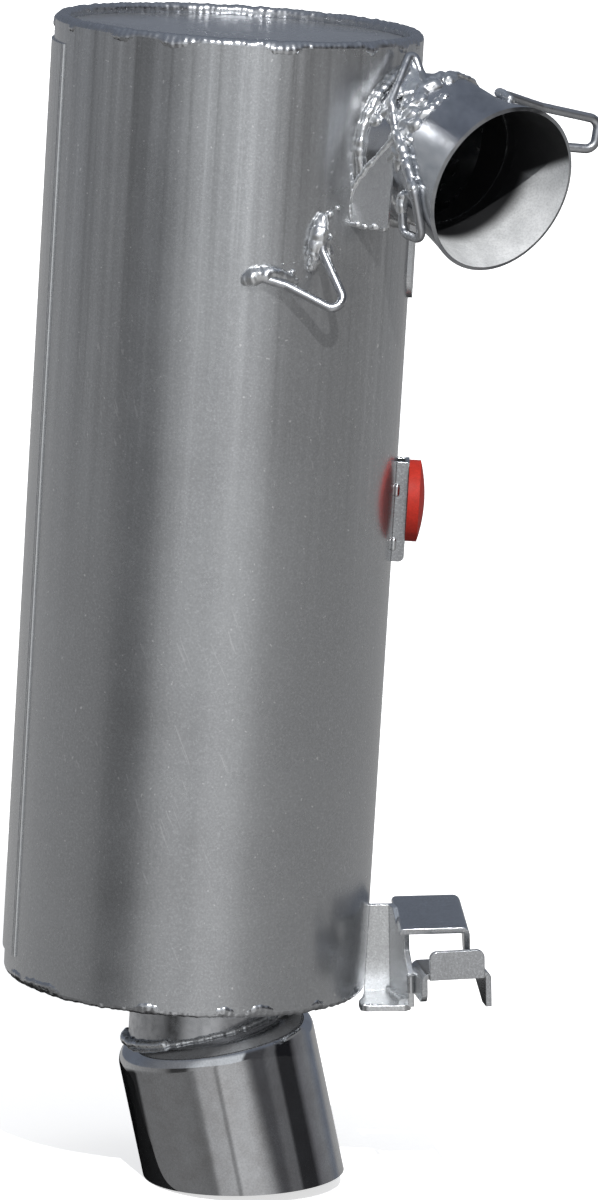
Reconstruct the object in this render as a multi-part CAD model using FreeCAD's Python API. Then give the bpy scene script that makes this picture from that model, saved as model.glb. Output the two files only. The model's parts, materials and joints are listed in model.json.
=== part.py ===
"""Welded exhaust muffler: round packed body, mitred side inlet, leaning tailpipe tip, hanger and hooks.

Millimetres, +Z up. Everything is designed in the body's own frame, with Z along the body's axis,
z = 0 at the bottom rim and -Y as the front. write() then moves each piece so that the origin is
on the inlet's axis, where its bore ends and the flare begins.
"""
import FreeCAD, Part
import math
import os
from FreeCAD import Vector

# Body
BODY_R = 63.5
BODY_LENGTH = 338.0
SHEET = 1.6
BEAD_R = 2.6
CAP_RECESS = 4.0
LAP_STEP = 0.9
LAP_ANGLE = 201.0
LAP_END_GAP = 7.0

# Inlet neck: a 2 in tube, mitred once, its end sized to a slip bore and flared
TUBE_R = 25.4
TUBE_WALL = 1.6
STUB_ANGLE = -23.4
STUB_DROP = 37.0
STUB_REACH = 76.5
NECK_DIRECTION = Vector(0.60, -0.76, -0.25)
NECK_LENGTH = 36.5
SLIP_BORE_R = 24.2
SLIP_BORE_LENGTH = 4.5
FLARE_LENGTH = 25.0
LIP_R = 29.6
LIP_WALL = 1.3
SADDLE_BEAD = 3.0

# Flat gusset between the body and the front of the inlet stub
GUSSET_SHEET = 1.6
GUSSET_BEAD_R = 1.1

# Doubler plate below the inlet
DOUBLER_SHEET = 1.5
DOUBLER_BOTTOM = BODY_LENGTH - 92.0
DOUBLER_TOP = BODY_LENGTH - 58.0
DOUBLER_MIDDLE = 10.0
DOUBLER_WIDTH = 44.0
DOUBLER_CORNER_R = 9.0

# Spring hooks, bent from 1/8 in rod
ROD_R = 1.6
HOOK_BEND = 3.6

# Bumper on the right side
BUMPER_Z = (BODY_LENGTH - 184.0, BODY_LENGTH - 149.0)
BUMPER_HALF_WIDTH = 6.0
BUMPER_FACE_X = 67.7
BUMPER_SHEET = 1.5
PAD_R = 14.2
PAD_EDGE = 4.0
PAD_HEIGHT = 6.0
PAD_STEM_R = 3.0
PAD_STEM_HEAD = 1.2

# Hanger at the bottom right, folded from 2 mm sheet and tilted up to the right as a whole
HANGER_X = 72.7
HANGER_SHEET = 2.0
HANGER_HEIGHT = 31.0
HANGER_TILT = 4.5
FLANGE_TWIST = 14.0
FLANGE_TOP_DEPTH = 21.0
FLANGE_BOTTOM_DEPTH = 26.5
FLANGE_SHOULDER_DEPTH = 5.0
FLANGE_STEP_LOW = 12.0
FLANGE_STEP_HIGH = 19.0
WEB_WIDTH = 14.0
FOOT_FRONT = -23.0
FOOT_LEFT_FRONT = 62.5
FOOT_LEFT_BACK = 60.0
FOOT_REACH = 8.0
FOOT_CORNER_R = 3.0
UPPER_CLIP_TOP = 28.3
UPPER_CLIP_X = 74.9
UPPER_CLIP_WIDTH = 24.5
UPPER_CLIP_BACK = 26.0
UPPER_CLIP_FRONT = -28.0
UPPER_CLIP_TWIST = 2.9
UPPER_LEG_DEPTH = 9.0
LOWER_CLIP_TOP = 15.5
LOWER_CLIP_X = (80.0, 104.4)
LOWER_CLIP_BACK = -20.0
LOWER_CLIP_DEPTH = 23.0
LOWER_CLIP_TWIST = 9.5
LOWER_LEG_DROP = 12.6
TAB_INSET = 2.6
TAB_HEIGHT = 10.0

# Outlet and tip
OUTLET_X = 7.0
STUB_INSIDE = 14.0
STUB_IN_TIP = 4.0
TIP_R = 34.925
TIP_LEAN = 15.0
TIP_TOP_Z = -16.3
TIP_LENGTH = 55.0
TIP_SHOULDER_R = 8.0
TIP_END_TILT = 4.6
TIP_SHIFT = 3.9
TIP_BEAD = 1.8

# Inside
UPPER_BAFFLE_Z = BODY_LENGTH - 84.0
LOWER_BAFFLE_Z = 34.0
CORE_WALL = 1.2
CORE_OVERHANG = 5.0
WOOL_THICKNESS = 3.0
PERFORATION_R = 2.5
PERFORATION_PITCH = 24.0
PERFORATIONS_ROUND = 6

UP = Vector(0, 0, 1)
ORIGIN = Vector(0, 0, 0)


def unit(vector):
    copy = Vector(vector)
    return copy.normalize()


def round_direction(degrees):
    """Horizontal direction at an angle from +X."""
    angle = math.radians(degrees)
    return Vector(math.cos(angle), math.sin(angle), 0)


STUB_DIR = round_direction(STUB_ANGLE)
NECK_DIR = unit(NECK_DIRECTION)
MITRE_NORMAL = unit(STUB_DIR + NECK_DIR)
MITRE_POINT = STUB_DIR * STUB_REACH + UP * (BODY_LENGTH - STUB_DROP)
MOUTH = MITRE_POINT + NECK_DIR * NECK_LENGTH
INLET_SEAT = MOUTH - NECK_DIR * FLARE_LENGTH
TIP_DIR = Vector(math.sin(math.radians(TIP_LEAN)), 0, -math.cos(math.radians(TIP_LEAN)))


def write(node, shape):
    """Move a finished piece to the inlet's origin and save it."""
    placed = shape.copy()
    placed.translate(INLET_SEAT * -1)
    placed.exportStep("parts/" + node + ".step")


def rod_along(start, end, radius):
    return Part.makeCylinder(radius, start.distanceToPoint(end), start, end - start)


def tube_along(start, end, radius, wall):
    return rod_along(start, end, radius).cut(rod_along(start, end, radius - wall))


def half_space(point, normal, size=400.0):
    """A large block that fills the side of a plane that its normal points to."""
    return Part.makeCylinder(size, size, point, normal)


def polygon_face(points):
    return Part.Face(Part.makePolygon(points + [points[0]]))


def sector(inner_r, outer_r, z_low, z_high, from_angle, to_angle):
    """Part of a ring about the body's axis."""
    height = z_high - z_low
    span = to_angle - from_angle
    outer = Part.makeCylinder(outer_r, height, Vector(0, 0, z_low), UP, span)
    inner = Part.makeCylinder(inner_r, height, Vector(0, 0, z_low), UP)
    ring = outer.cut(inner)
    ring.rotate(ORIGIN, UP, from_angle)
    return ring


def body_core(radius=BODY_R):
    """The full round of the body, longer than the body at both ends."""
    return Part.makeCylinder(radius, BODY_LENGTH + 40, Vector(0, 0, -20), UP)


def bent_rod(points, radius=ROD_R, bend=HOOK_BEND):
    """A round rod through straight runs that tangent arcs join."""
    edges = []
    start = points[0]
    for before, corner, after in zip(points, points[1:], points[2:]):
        back = unit(before - corner)
        ahead = unit(after - corner)
        half = back.getAngle(ahead) / 2
        shorter = min(before.distanceToPoint(corner), after.distanceToPoint(corner))
        arc_r = min(bend, 0.45 * shorter * math.tan(half))
        setback = arc_r / math.tan(half)
        middle = corner + unit(back + ahead) * (arc_r / math.sin(half) - arc_r)
        arc_start = corner + back * setback
        arc_end = corner + ahead * setback
        edges.append(Part.LineSegment(start, arc_start).toShape())
        edges.append(Part.Arc(arc_start, middle, arc_end).toShape())
        start = arc_end
    edges.append(Part.LineSegment(start, points[-1]).toShape())
    section = Part.Wire(Part.makeCircle(radius, points[0], points[1] - points[0]))
    return Part.Wire(edges).makePipeShell([section], True, False)


def weld_blob(centre, along, length, radius):
    """A short weld: a round bead with domed ends."""
    half = unit(along) * (length / 2)
    blob = rod_along(centre - half, centre + half, radius)
    for end in (centre - half, centre + half):
        blob = blob.fuse(Part.makeSphere(radius, end))
    return blob.removeSplitter()


def elbow_point(reach, turn, stand_off=0.0):
    """A point on the second tube: turn in degrees from its top towards the back."""
    angle = math.radians(turn)
    top = unit(UP - NECK_DIR * UP.dot(NECK_DIR))
    side = NECK_DIR.cross(top)
    if side.y < 0:
        side = side * -1
    out = top * math.cos(angle) + side * math.sin(angle)
    return MITRE_POINT + NECK_DIR * reach + out * (TUBE_R + stand_off)


# ---- body ----

def shell():
    bottom = BEAD_R
    top = BODY_LENGTH - BEAD_R
    sheet = tube_along(Vector(0, 0, bottom), Vector(0, 0, top), BODY_R, SHEET)
    # The outer edge of the rolled sheet stands proud by the lap and fades out over a quarter turn.
    low = bottom + LAP_END_GAP
    height = top - bottom - 2 * LAP_END_GAP
    shift = round_direction(LAP_ANGLE) * LAP_STEP
    lap = Part.makeCylinder(BODY_R, height, shift + UP * low, UP)
    inner_r, outer_r = BODY_R - SHEET / 2, BODY_R + 2 * LAP_STEP
    quarter = sector(inner_r, outer_r, low, low + height, LAP_ANGLE - 88, LAP_ANGLE)
    sheet = sheet.fuse(lap.common(quarter)).removeSplitter()
    inlet_hole = rod_along(MITRE_POINT - STUB_DIR * 60, MITRE_POINT, TUBE_R)
    return sheet.cut(inlet_hole)


def shell_seam_weld(shell_solid):
    foot = round_direction(LAP_ANGLE + 0.7) * (BODY_R + 0.1)
    low = BEAD_R + LAP_END_GAP
    high = BODY_LENGTH - low
    bead = rod_along(foot + UP * low, foot + UP * high, 0.8)
    return bead.cut(shell_solid).cut(body_core(BODY_R - SHEET / 2))


def end_cap(z_low):
    return Part.makeCylinder(BODY_R - SHEET, SHEET, Vector(0, 0, z_low), UP)


def rim_weld(z_centre, neighbours):
    bead = Part.makeTorus(BODY_R - BEAD_R, BEAD_R, Vector(0, 0, z_centre), UP)
    for neighbour in neighbours:
        bead = bead.cut(neighbour)
    return max(bead.Solids, key=lambda solid: solid.Volume)


# ---- inlet ----

def inlet_stub():
    start = MITRE_POINT - STUB_DIR * 40
    tube = tube_along(start, MITRE_POINT + STUB_DIR * 20, TUBE_R, TUBE_WALL)
    tube = tube.cut(half_space(MITRE_POINT, MITRE_NORMAL))
    # The inner end is coped to a curve that follows the body, 4 mm inside the sheet.
    return tube.cut(body_core(BODY_R - SHEET - 4))


def inlet_stub_weld():
    ring = tube_along(STUB_DIR * 40 + UP * MITRE_POINT.z, MITRE_POINT, TUBE_R + SADDLE_BEAD, SADDLE_BEAD)
    return ring.common(body_core(BODY_R + SADDLE_BEAD)).cut(body_core())


def inlet_doubler():
    """Plate on the shell below the inlet, its two lower corners rounded."""
    height = DOUBLER_TOP - DOUBLER_BOTTOM
    prism = Part.makeBox(60, DOUBLER_WIDTH, height, Vector(20, -DOUBLER_WIDTH / 2, DOUBLER_BOTTOM))
    corners = []
    for edge in prism.Edges:
        along_x = abs(edge.tangentAt(0).x) > 0.9
        if along_x and edge.CenterOfMass.z < DOUBLER_BOTTOM + 1:
            corners.append(edge)
    prism = prism.makeFillet(DOUBLER_CORNER_R, corners)
    prism.rotate(ORIGIN, UP, DOUBLER_MIDDLE)
    low = Vector(0, 0, DOUBLER_BOTTOM - 5)
    high = Vector(0, 0, DOUBLER_TOP + 5)
    ring = tube_along(low, high, BODY_R + DOUBLER_SHEET, DOUBLER_SHEET)
    stub_clearance = rod_along(STUB_DIR * 40 + UP * MITRE_POINT.z, MITRE_POINT, TUBE_R + SADDLE_BEAD)
    return ring.common(prism).cut(stub_clearance)


def inlet_elbow():
    """Second tube of the neck: sized at the end for the slip bore, then flared out to the lip."""
    seat_end = NECK_LENGTH - FLARE_LENGTH
    seat_start = seat_end - SLIP_BORE_LENGTH
    bore_r = TUBE_R - TUBE_WALL
    lip_bore_r = LIP_R - LIP_WALL
    halfway = seat_end + FLARE_LENGTH / 2
    outer_middle = Vector(halfway, TUBE_R + 0.42 * (LIP_R - TUBE_R), 0)
    inner_middle = Vector(halfway, SLIP_BORE_R + 0.42 * (lip_bore_r - SLIP_BORE_R), 0)
    outer_start = Vector(seat_end, TUBE_R, 0)
    outer_end = Vector(NECK_LENGTH - 0.4, LIP_R, 0)
    inner_end = Vector(NECK_LENGTH, lip_bore_r, 0)
    inner_start = Vector(seat_end, SLIP_BORE_R, 0)
    bore = [
        inner_start,
        Vector(seat_start, SLIP_BORE_R, 0),
        Vector(seat_start, bore_r, 0),
        Vector(-20, bore_r, 0),
        Vector(-20, TUBE_R, 0),
        outer_start,
    ]
    edges = [Part.makeLine(first, second) for first, second in zip(bore, bore[1:])]
    edges.append(Part.Arc(outer_start, outer_middle, outer_end).toShape())
    edges.append(Part.makeLine(outer_end, inner_end))
    edges.append(Part.Arc(inner_end, inner_middle, inner_start).toShape())
    tube = Part.Face(Part.Wire(edges)).revolve(ORIGIN, Vector(1, 0, 0), 360)
    turn = FreeCAD.Rotation(Vector(1, 0, 0), NECK_DIR)
    tube.Placement = FreeCAD.Placement(MITRE_POINT, turn)
    return tube.cut(half_space(MITRE_POINT, MITRE_NORMAL * -1))


def gusset_point(reach, height, out=0.0):
    """A point on the upright plane that touches the front of the stub."""
    front = Vector(STUB_DIR.y, -STUB_DIR.x, 0)
    return STUB_DIR * reach + front * (TUBE_R + out) + UP * height


def gusset_edge(out):
    """Corners of the gusset's free edge, from its top right round to its bottom right."""
    corners = ((71.6, 307.0), (63.1, 296.5), (57.4, 289.0), (56.0, 281.5), (58.0, 275.8), (71.0, 275.8))
    return [gusset_point(reach, height, out) for reach, height in corners]


def inlet_gusset(neighbours):
    plate = polygon_face(gusset_edge(0.0)).extrude(gusset_point(0, 0, GUSSET_SHEET) - gusset_point(0, 0))
    for neighbour in neighbours:
        plate = plate.cut(neighbour)
    return max(plate.Solids, key=lambda solid: solid.Volume)


def inlet_gusset_weld(neighbours):
    bead = bent_rod(gusset_edge(GUSSET_SHEET), GUSSET_BEAD_R, 5.0)
    for neighbour in neighbours:
        bead = bead.cut(neighbour)
    return max(bead.Solids, key=lambda solid: solid.Volume)


def mitre_weld(stub, elbow):
    """A rounded bead along the ellipse where the two tubes meet."""
    major_dir = unit(STUB_DIR - NECK_DIR)
    minor_dir = MITRE_NORMAL.cross(major_dir)
    half_turn = STUB_DIR.getAngle(NECK_DIR) / 2
    major = TUBE_R / math.cos(half_turn)
    long_end = MITRE_POINT + major_dir * major
    short_end = MITRE_POINT + minor_dir * TUBE_R
    ellipse = Part.Ellipse(long_end, short_end, MITRE_POINT)
    path = Part.Wire(ellipse.toShape())
    start = MITRE_POINT + major_dir * major
    section = Part.Wire(Part.makeCircle(1.9, start, minor_dir))
    bead = path.makePipeShell([section], True, False)
    inside = rod_along(MITRE_POINT - STUB_DIR * 30, MITRE_POINT + STUB_DIR * 10, TUBE_R - TUBE_WALL)
    onward = rod_along(MITRE_POINT - NECK_DIR * 10, MITRE_POINT + NECK_DIR * 20, TUBE_R - TUBE_WALL)
    bead = bead.cut(stub).cut(elbow).cut(inside).cut(onward)
    return max(bead.Solids, key=lambda solid: solid.Volume)


# ---- spring hooks ----

def front_hook_points():
    return [
        Vector(32.0, -56.6, 275.6),
        Vector(33.2, -58.6, 267.0),
        Vector(44.7, -69.0, 246.0),
        Vector(21.4, -64.2, 255.7),
        Vector(10.6, -64.4, 258.4),
    ]


def rear_hook_points():
    return [
        elbow_point(16.0, 22.0, ROD_R + 0.8),
        Vector(104.0, -30.0, 317.6),
        Vector(124.5, -20.0, 313.4),
        Vector(123.5, -21.0, 303.2),
        elbow_point(16.0, 74.0, ROD_R + 0.8),
    ]


def top_hook_points():
    return [
        Vector(55.2, -51.4, 308.2),
        Vector(53.1, -45.8, 318.2),
        Vector(59.1, -32.6, 335.0),
        Vector(62.6, -36.0, 326.8),
        Vector(65.4, -43.6, 322.6),
    ]


def lower_hook_points():
    return [
        Vector(55.7, -53.1, 307.9),
        Vector(57.7, -57.4, 303.2),
        Vector(62.5, -67.0, 290.5),
        Vector(66.4, -66.0, 274.0),
        Vector(59.8, -56.0, 274.8),
        Vector(58.9, -55.5, 284.2),
    ]


def hook_welds(points, first_along, last_along, length, radius, neighbours):
    """The two blobs that hold a hook's ends."""
    blobs = []
    for end, along in ((points[0], first_along), (points[-1], last_along)):
        blob = weld_blob(end, along, length, radius)
        for neighbour in neighbours:
            blob = blob.cut(neighbour)
        blobs.append(max(blob.Solids, key=lambda solid: solid.Volume))
    return Part.Compound(blobs)


# ---- bumper ----

def bumper_bracket():
    low, high = BUMPER_Z
    width = 2 * BUMPER_HALF_WIDTH
    block = Part.makeBox(20, width, high - low, Vector(BUMPER_FACE_X - 20, -BUMPER_HALF_WIDTH, low))
    lower_edges = []
    for edge in block.Edges:
        along_y = abs(edge.Length - width) < 0.01
        if along_y and edge.CenterOfMass.x > BUMPER_FACE_X - 1 and edge.CenterOfMass.z < low + 1:
            lower_edges.append(edge)
    block = block.makeFillet(2.0, lower_edges)
    hollow_width = width - 2 * BUMPER_SHEET
    corner = Vector(BUMPER_FACE_X - 20 - BUMPER_SHEET, -hollow_width / 2, low - 5)
    hollow = Part.makeBox(20, hollow_width, high - low + 10, corner)
    bracket = block.cut(hollow).cut(body_core())
    stem_hole = Part.makeCylinder(PAD_STEM_R, 10, pad_centre() - Vector(5, 0, 0), Vector(1, 0, 0))
    return bracket.cut(stem_hole)


def pad_centre():
    """Middle of the pad's back face."""
    return Vector(BUMPER_FACE_X, 0, BUMPER_Z[1] - PAD_R)


def bumper_pad():
    """Domed rubber disc with a push-in stem."""
    dome_r = (PAD_R ** 2 + (PAD_HEIGHT - PAD_EDGE) ** 2) / (2 * (PAD_HEIGHT - PAD_EDGE))
    edge_corner = Vector(PAD_EDGE, PAD_R, 0)
    crown = Vector(PAD_HEIGHT, 0, 0)
    half_angle = math.asin(PAD_R / dome_r) / 2
    dome_x = PAD_HEIGHT - dome_r
    dome_middle = Vector(dome_x + dome_r * math.cos(half_angle), dome_r * math.sin(half_angle), 0)
    head_r = PAD_STEM_R + PAD_STEM_HEAD
    outline = [Vector(-3.6, 0, 0), Vector(-3.6, head_r, 0), Vector(-1.5, head_r, 0)]
    outline += [Vector(-1.5, PAD_STEM_R, 0), Vector(0, PAD_STEM_R, 0), Vector(0, PAD_R, 0), edge_corner]
    edges = []
    for first, second in zip(outline, outline[1:]):
        edges.append(Part.LineSegment(first, second).toShape())
    edges.append(Part.Arc(edge_corner, dome_middle, crown).toShape())
    edges.append(Part.LineSegment(crown, outline[0]).toShape())
    pad = Part.Face(Part.Wire(edges)).revolve(ORIGIN, Vector(1, 0, 0), 360)
    pad.translate(pad_centre())
    return pad


def bumper_bracket_welds(bracket):
    """Short tacks where the bracket's legs meet the shell."""
    low, high = BUMPER_Z
    leg_x = math.sqrt(BODY_R ** 2 - BUMPER_HALF_WIDTH ** 2)
    tacks = []
    for side in (-1, 1):
        for height in (low + 6, high - 10):
            centre = Vector(leg_x + 0.6, side * (BUMPER_HALF_WIDTH + 0.4), height)
            tack = weld_blob(centre, UP, 2.5, 1.0)
            tacks.append(tack.cut(bracket).cut(body_core()))
    return Part.Compound(tacks)


# ---- hanger ----

def plate_outline(points, origin, thickness_dir, thickness):
    """A flat plate from its corner points, thickened one way."""
    face = polygon_face([origin + point for point in points])
    return face.extrude(thickness_dir * thickness)


def round_edges(plate, picks, radius):
    """Round the plate's short thickness edges that lie nearest to the picked points."""
    edges = []
    for pick in picks:
        edges.append(min(plate.Edges, key=lambda edge: edge.CenterOfMass.distanceToPoint(pick)))
    return plate.makeFillet(radius, edges)


def turn_hanger(shape, twist=0.0):
    """Turn a hanger piece about the upright line where its plates meet, then tilt it."""
    corner = Vector(HANGER_X, 0, 0)
    shape.rotate(corner, UP, twist)
    shape.rotate(corner, Vector(0, -1, 0), HANGER_TILT)
    return shape


def hanger_angle(shelf):
    """Upright web against the shell, and the flange that comes forward from it under the shelf."""
    web_corner = Vector(HANGER_X - WEB_WIDTH, 0, 0)
    web = Part.makeBox(WEB_WIDTH, HANGER_SHEET, HANGER_HEIGHT, web_corner)
    under_shelf = UPPER_CLIP_TOP - HANGER_SHEET
    shoulder_foot = FLANGE_SHOULDER_DEPTH + HANGER_HEIGHT - under_shelf
    outline = [
        Vector(0, HANGER_SHEET, 0),
        Vector(0, -FLANGE_BOTTOM_DEPTH, 0),
        Vector(0, -FLANGE_BOTTOM_DEPTH, FLANGE_STEP_LOW),
        Vector(0, -FLANGE_TOP_DEPTH, FLANGE_STEP_HIGH),
        Vector(0, -FLANGE_TOP_DEPTH, under_shelf),
        Vector(0, -shoulder_foot, under_shelf),
        Vector(0, -FLANGE_SHOULDER_DEPTH, HANGER_HEIGHT),
        Vector(0, HANGER_SHEET, HANGER_HEIGHT),
    ]
    base = Vector(HANGER_X, 0, 0)
    flange = plate_outline(outline, base, Vector(1, 0, 0), HANGER_SHEET)
    angle = turn_hanger(web).fuse(turn_hanger(flange, FLANGE_TWIST))
    angle = angle.cut(body_core()).cut(shelf).removeSplitter()
    return max(angle.Solids, key=lambda solid: solid.Volume)


def hanger_foot():
    """Flange at the bottom, turned out towards the front."""
    outline = [
        Vector(HANGER_X + HANGER_SHEET, HANGER_SHEET, 0),
        Vector(HANGER_X + FOOT_REACH, FOOT_FRONT, 0),
        Vector(FOOT_LEFT_FRONT, FOOT_FRONT, 0),
        Vector(FOOT_LEFT_BACK, HANGER_SHEET, 0),
    ]
    foot = plate_outline(outline, ORIGIN, UP * -1, HANGER_SHEET)
    picks = [outline[1] - UP, outline[2] - UP]
    return turn_hanger(round_edges(foot, picks, FOOT_CORNER_R)).cut(body_core())


def folded_clip(width, back, front, drop_left, drop_right, top):
    """A shelf with a leg folded down at each side that has a drop. x runs from 0 to width."""
    clip = Part.makeBox(width, back - front, HANGER_SHEET, Vector(0, front, top - HANGER_SHEET))
    for x_low, drop in ((0, drop_left), (width - HANGER_SHEET, drop_right)):
        if drop > 0:
            corner = Vector(x_low, front, top - drop)
            clip = clip.fuse(Part.makeBox(HANGER_SHEET, back - front, drop, corner))
    clip = clip.removeSplitter()
    for x, drop in ((0, drop_left), (width, drop_right)):
        bend = HANGER_SHEET * (1.4 if drop > 0 else 0.8)
        clip = round_edges(clip, [Vector(x, (back + front) / 2, top)], bend)
    return clip


def hanger_upper_clip():
    """Flat shelf whose right side folds down into a leg, narrowed to its front end."""
    leg = UPPER_CLIP_TOP - LOWER_CLIP_TOP
    clip = folded_clip(UPPER_CLIP_WIDTH, UPPER_CLIP_BACK, UPPER_CLIP_FRONT, 0, leg, UPPER_CLIP_TOP)
    leg_back = UPPER_CLIP_FRONT + UPPER_LEG_DEPTH
    taper = [
        Vector(0, UPPER_CLIP_BACK + 1, UPPER_CLIP_TOP - 4),
        Vector(0, UPPER_CLIP_BACK + 1, 0),
        Vector(0, leg_back, 0),
        Vector(0, leg_back, LOWER_CLIP_TOP + 1),
        Vector(0, leg_back + 8, UPPER_CLIP_TOP - 4),
    ]
    waste = plate_outline(taper, Vector(UPPER_CLIP_WIDTH - 6, 0, 0), Vector(1, 0, 0), 10)
    clip = clip.cut(waste)
    clip.rotate(ORIGIN, UP, UPPER_CLIP_TWIST)
    clip.translate(Vector(UPPER_CLIP_X, 0, 0))
    return turn_hanger(clip)


def hanger_lower_clip(neighbours):
    """Small shelf with two legs and an upturned tab at the front."""
    low_x, high_x = LOWER_CLIP_X
    width = high_x - low_x
    front = -LOWER_CLIP_DEPTH
    clip = folded_clip(width, 0, front, LOWER_LEG_DROP - 2, LOWER_LEG_DROP, LOWER_CLIP_TOP)
    bottom = LOWER_CLIP_TOP - LOWER_LEG_DROP
    slant = [Vector(0, 1, bottom + 7), Vector(0, 1, bottom - 1), Vector(0, front + 5, bottom - 1)]
    clip = clip.cut(plate_outline(slant, Vector(width - 5, 0, 0), Vector(1, 0, 0), 10))
    left_corner = Vector(HANGER_SHEET / 2, front, bottom + 2)
    clip = round_edges(clip, [left_corner], 4.5)
    tab_low = LOWER_CLIP_TOP - HANGER_SHEET
    tab_corner = Vector(TAB_INSET, front - HANGER_SHEET, tab_low)
    tab = Part.makeBox(width - 2 * TAB_INSET, HANGER_SHEET, TAB_HEIGHT, tab_corner)
    corners = []
    for edge in tab.Edges:
        through = abs(edge.Length - HANGER_SHEET) < 0.01
        if through and edge.CenterOfMass.z > tab_low + 1 and abs(edge.tangentAt(0).y) > 0.9:
            corners.append(edge)
    clip = clip.fuse(tab.makeFillet(2.6, corners)).removeSplitter()
    clip.rotate(ORIGIN, UP, LOWER_CLIP_TWIST)
    clip.translate(Vector(low_x, LOWER_CLIP_BACK, 0))
    clip = turn_hanger(clip)
    for neighbour in neighbours:
        clip = clip.cut(neighbour)
    return max(clip.Solids, key=lambda solid: solid.Volume)


def hanger_welds(neighbours):
    """Beads that join the web to the shell, the foot to the flange, and the lower clip to the flange."""
    seam_foot = Vector(BODY_R + 1.0, HANGER_SHEET + 0.8, 0)
    beads = [rod_along(seam_foot + UP * 5, seam_foot + UP * 28, 1.4)]
    beads.append(turn_hanger(rod_along(Vector(72.4, -2, 0.2), Vector(77.0, -20, 0.2), 1.4)))
    lap_x = LOWER_CLIP_X[0]
    beads.append(turn_hanger(rod_along(Vector(lap_x, -26.9, 5.5), Vector(lap_x, -26.9, 11.5), 1.3)))
    solids = []
    for bead in beads:
        for neighbour in neighbours:
            bead = bead.cut(neighbour)
        solids.append(max(bead.Solids, key=lambda solid: solid.Volume))
    return Part.Compound(solids)


# ---- outlet ----

def outlet_axis_point():
    """Where the outlet's axis meets the tip's closed top."""
    return Vector(OUTLET_X, 0, TIP_TOP_Z)


def tip_top_centre():
    shift = Vector(math.cos(math.radians(TIP_LEAN)), 0, math.sin(math.radians(TIP_LEAN)))
    return outlet_axis_point() + shift * TIP_SHIFT


def below_stub_end():
    """The space past the stub's lower end, which is cut parallel to the tip's top."""
    return half_space(tip_top_centre() + TIP_DIR * STUB_IN_TIP, TIP_DIR)


def outlet_stub():
    low = Vector(OUTLET_X, 0, TIP_TOP_Z - TUBE_R)
    tube = tube_along(low, Vector(OUTLET_X, 0, STUB_INSIDE), TUBE_R, TUBE_WALL)
    return tube.cut(below_stub_end())


def outlet_tip():
    """Wider tube with a rounded, closed top and a sloping open end."""
    outer = rod_along(tip_top_centre(), tip_top_centre() + TIP_DIR * (TIP_LENGTH + 30), TIP_R)
    top_rim = min(outer.Edges, key=lambda edge: edge.CenterOfMass.distanceToPoint(tip_top_centre()))
    outer = outer.makeFillet(TIP_SHOULDER_R, [top_rim])
    inner_top = tip_top_centre() + TIP_DIR * SHEET
    inner = rod_along(inner_top, inner_top + TIP_DIR * (TIP_LENGTH + 40), TIP_R - SHEET)
    inner_rim = min(inner.Edges, key=lambda edge: edge.CenterOfMass.distanceToPoint(inner_top))
    inner = inner.makeFillet(TIP_SHOULDER_R - SHEET, [inner_rim])
    end_centre = tip_top_centre() + TIP_DIR * TIP_LENGTH
    tilt = math.radians(TIP_END_TILT)
    end_normal = Vector(math.sin(tilt), 0, -math.cos(tilt))
    stub_hole = rod_along(Vector(OUTLET_X, 0, 10), Vector(OUTLET_X, 0, TIP_TOP_Z - TUBE_R), TUBE_R)
    stub_hole = stub_hole.cut(below_stub_end())
    return outer.cut(inner).cut(half_space(end_centre, end_normal)).cut(stub_hole)


def outlet_tip_weld(tip):
    """Bead around the stub on the tip's sloping top."""
    ring = tube_along(Vector(OUTLET_X, 0, -40), Vector(OUTLET_X, 0, 0), TUBE_R + TIP_BEAD, TIP_BEAD)
    above = half_space(tip_top_centre(), TIP_DIR * -1)
    below = half_space(tip_top_centre() - TIP_DIR * TIP_BEAD, TIP_DIR)
    return ring.common(above).common(below).cut(tip)


def outlet_cap_weld():
    """Bead around the stub under the bottom cap."""
    low = Vector(OUTLET_X, 0, 0.2)
    high = Vector(OUTLET_X, 0, CAP_RECESS - SHEET)
    return tube_along(low, high, TUBE_R + 2.2, 2.2)


# ---- inside ----

def baffle(z_low):
    plate = Part.makeCylinder(BODY_R - SHEET, SHEET, Vector(0, 0, z_low), UP)
    hole = Part.makeCylinder(TUBE_R, 10, Vector(OUTLET_X, 0, z_low - 5), UP)
    return plate.cut(hole)


def perforated_core():
    low = LOWER_BAFFLE_Z - CORE_OVERHANG
    high = UPPER_BAFFLE_Z + SHEET + CORE_OVERHANG
    core = tube_along(Vector(OUTLET_X, 0, low), Vector(OUTLET_X, 0, high), TUBE_R, CORE_WALL)
    drills = []
    first_row = LOWER_BAFFLE_Z + PERFORATION_PITCH
    rows = int((UPPER_BAFFLE_Z - first_row) / PERFORATION_PITCH)
    for row in range(rows):
        for turn in range(PERFORATIONS_ROUND):
            across = round_direction(180.0 * (turn + 0.5 * (row % 2)) / PERFORATIONS_ROUND)
            middle = Vector(OUTLET_X, 0, first_row + row * PERFORATION_PITCH)
            drills.append(rod_along(middle - across * 40, middle + across * 40, PERFORATION_R))
    return core.cut(drills)


def packing_layer(inner_r, outer_r, centre_x):
    low = Vector(centre_x, 0, LOWER_BAFFLE_Z + SHEET)
    height = UPPER_BAFFLE_Z - LOWER_BAFFLE_Z - SHEET
    layer = Part.makeCylinder(outer_r, height, low, UP)
    return layer.cut(Part.makeCylinder(inner_r, height, Vector(OUTLET_X, 0, low.z), UP))


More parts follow.
